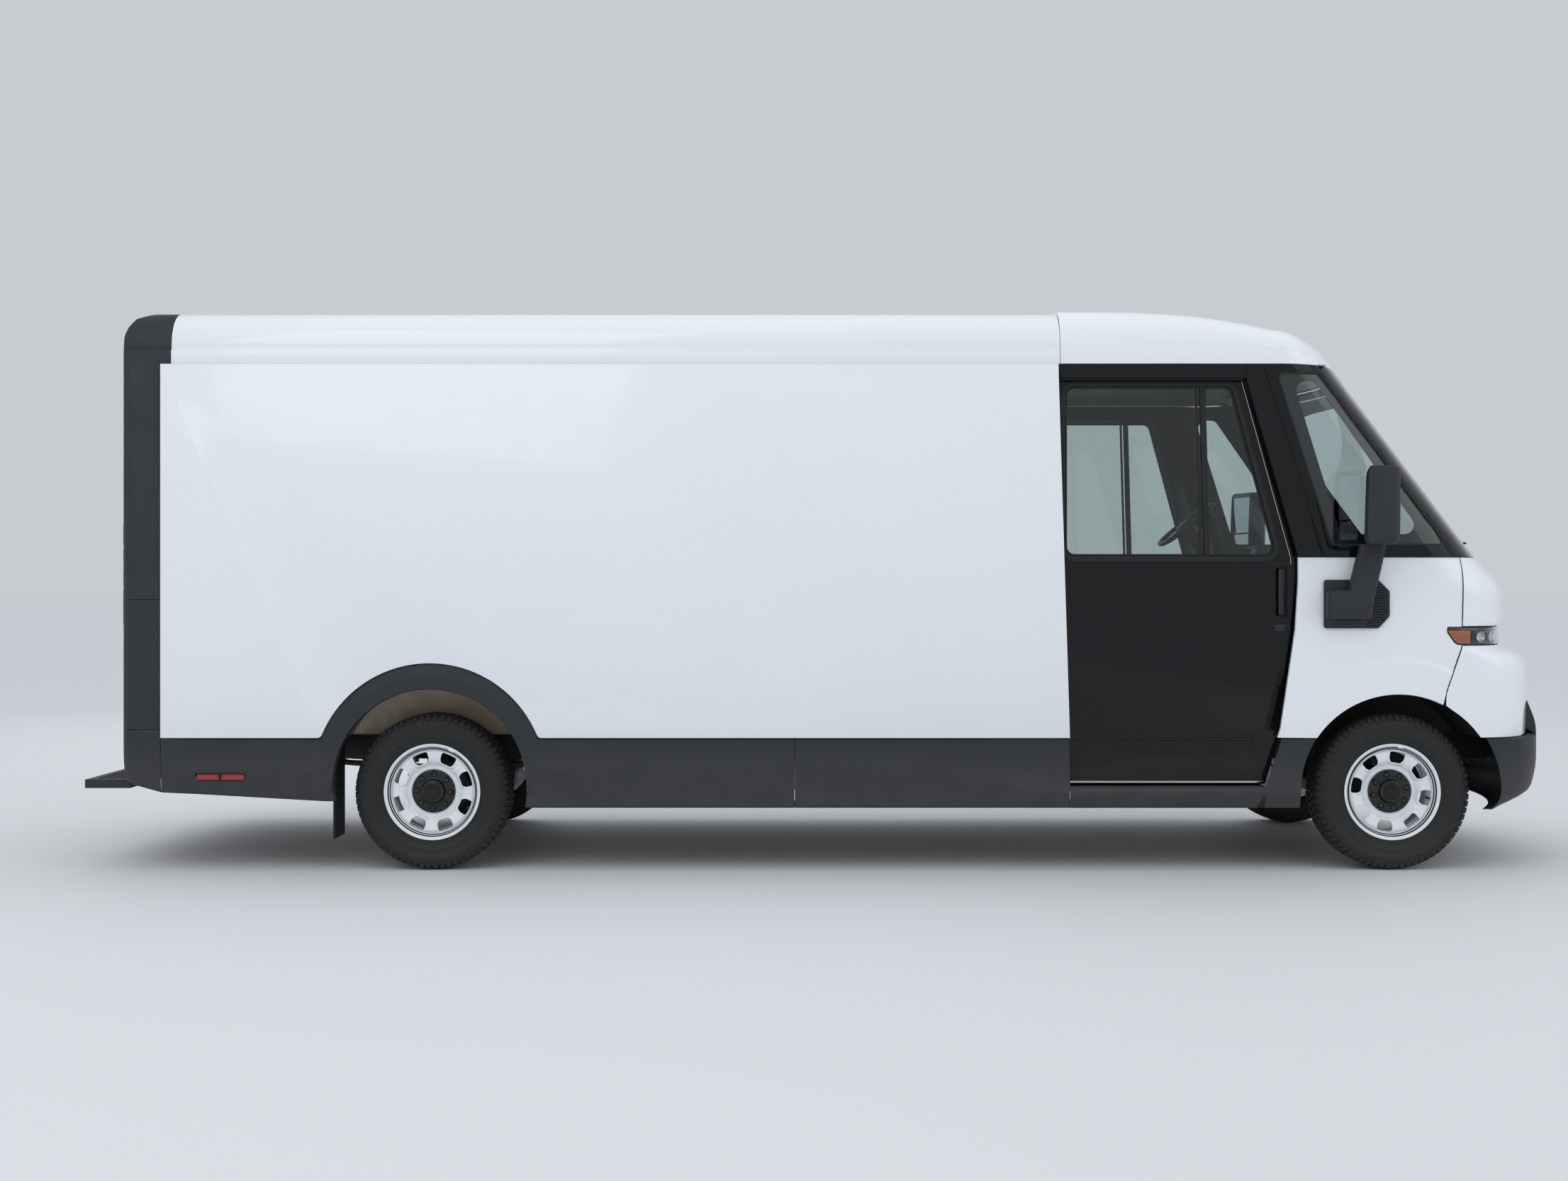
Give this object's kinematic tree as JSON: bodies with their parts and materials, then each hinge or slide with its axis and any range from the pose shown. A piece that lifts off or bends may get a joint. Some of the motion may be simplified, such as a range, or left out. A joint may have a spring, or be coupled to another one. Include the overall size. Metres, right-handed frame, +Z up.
{
  "type": "electric walk-in delivery van",
  "caption": "Electric walk-in delivery van with a white load body, black cladding, sliding cab doors, steering front wheels and a rear step.",
  "frame": {"origin": "centre of the van's box on the ground, under mid-length", "axes": "+X forward, +Y to the driver's left, +Z up"},
  "size_m": [7.29, 2.75, 2.762],
  "materials": {
    "white_paint": "gloss",
    "white_door": "satin",
    "black_cladding": "matte",
    "gloss_black": "gloss",
    "window_glass": "gloss",
    "lamp_lens": "gloss",
    "red_lens": "gloss",
    "bare_aluminium": "satin",
    "liner_board": "matte",
    "black_steel": "satin",
    "floor_rubber": "matte",
    "cab_plastic": "matte",
    "seat_cloth": "matte",
    "flap_rubber": "matte",
    "tyre_rubber": "matte",
    "rim_paint": "gloss",
    "cap_plastic": "satin"
  },
  "bodies": {
    "root": {"load_floor": "bare_aluminium", "load_liners": "liner_board", "side_panels": "white_paint", "load_roof": "white_paint", "rear_surround": "black_cladding", "roll_up_door": "white_door", "rear_step": "black_steel", "lower_cladding": "black_cladding", "rear_wheelhouses": "bare_aluminium", "front_wheelhouses": "black_cladding", "windscreen": "window_glass", "quarter_glass": "window_glass", "cab_frame": "gloss_black", "front_fenders": "white_paint", "nose_panel": "white_paint", "nose_band": "gloss_black", "headlamps": "lamp_lens", "front_bumper": "white_paint", "lower_bumper": "black_cladding", "cab_roof": "white_paint", "bulkhead": "liner_board", "cab_floor": "floor_rubber", "dashboard": "cab_plastic", "steering_wheel": "cab_plastic", "seat_base": "black_steel", "seat_cushion": "seat_cloth", "seat_back": "seat_cloth", "mirrors": "black_cladding", "rear_lamps": "red_lens", "frame_rails": "black_steel", "cross_members": "black_steel", "battery_pack": "bare_aluminium", "rear_axle": "black_steel", "rear_springs": "black_steel", "front_suspension": "black_steel", "mud_flaps": "flap_rubber"},
    "door_left": {"door_left": "gloss_black", "door_glass_left": "window_glass"},
    "door_right": {"door_right": "gloss_black", "door_glass_right": "window_glass"},
    "knuckle_left": {"knuckle_left": "black_steel"},
    "knuckle_right": {"knuckle_right": "black_steel"},
    "wheel_rear_left": {"tyre_rear_left": "tyre_rubber", "rim_rear_left": "rim_paint", "hub_cap_rear_left": "cap_plastic"},
    "wheel_rear_right": {"tyre_rear_right": "tyre_rubber", "rim_rear_right": "rim_paint", "hub_cap_rear_right": "cap_plastic"},
    "wheel_front_left": {"tyre_front_left": "tyre_rubber", "rim_front_left": "rim_paint", "hub_cap_front_left": "cap_plastic"},
    "wheel_front_right": {"tyre_front_right": "tyre_rubber", "rim_front_right": "rim_paint", "hub_cap_front_right": "cap_plastic"}
  },
  "joints": [
    {"name": "door_left_slide", "type": "slide", "parent": "root", "child": "door_left", "axis": [-1, 0, 0], "range_m": [0, 0.93]},
    {"name": "door_right_slide", "type": "slide", "parent": "root", "child": "door_right", "axis": [-1, 0, 0], "range_m": [0, 0.93]},
    {"name": "steer_left", "type": "hinge", "parent": "root", "child": "knuckle_left", "pos_m": [2.695, 0.82, 0.378], "axis": [0, 0, 1], "range_deg": [-32, 32]},
    {"name": "steer_right", "type": "hinge", "parent": "root", "child": "knuckle_right", "pos_m": [2.695, -0.82, 0.378], "axis": [0, 0, 1], "range_deg": [-32, 32]},
    {"name": "wheel_rear_left_spin", "type": "hinge", "parent": "root", "child": "wheel_rear_left", "pos_m": [-1.955, 0.9285, 0.378], "axis": [0, 1, 0], "continuous": true},
    {"name": "wheel_front_left_spin", "type": "hinge", "parent": "knuckle_left", "child": "wheel_front_left", "pos_m": [2.695, 0.9285, 0.378], "axis": [0, 1, 0], "continuous": true},
    {"name": "wheel_rear_right_spin", "type": "hinge", "parent": "root", "child": "wheel_rear_right", "pos_m": [-1.955, -0.9285, 0.378], "axis": [0, 1, 0], "continuous": true},
    {"name": "wheel_front_right_spin", "type": "hinge", "parent": "knuckle_right", "child": "wheel_front_right", "pos_m": [2.695, -0.9285, 0.378], "axis": [0, 1, 0], "continuous": true}
  ],
  "couplings": [
    {"joint": "steer_right", "follows": "steer_left", "ratio": 1}
  ]
}
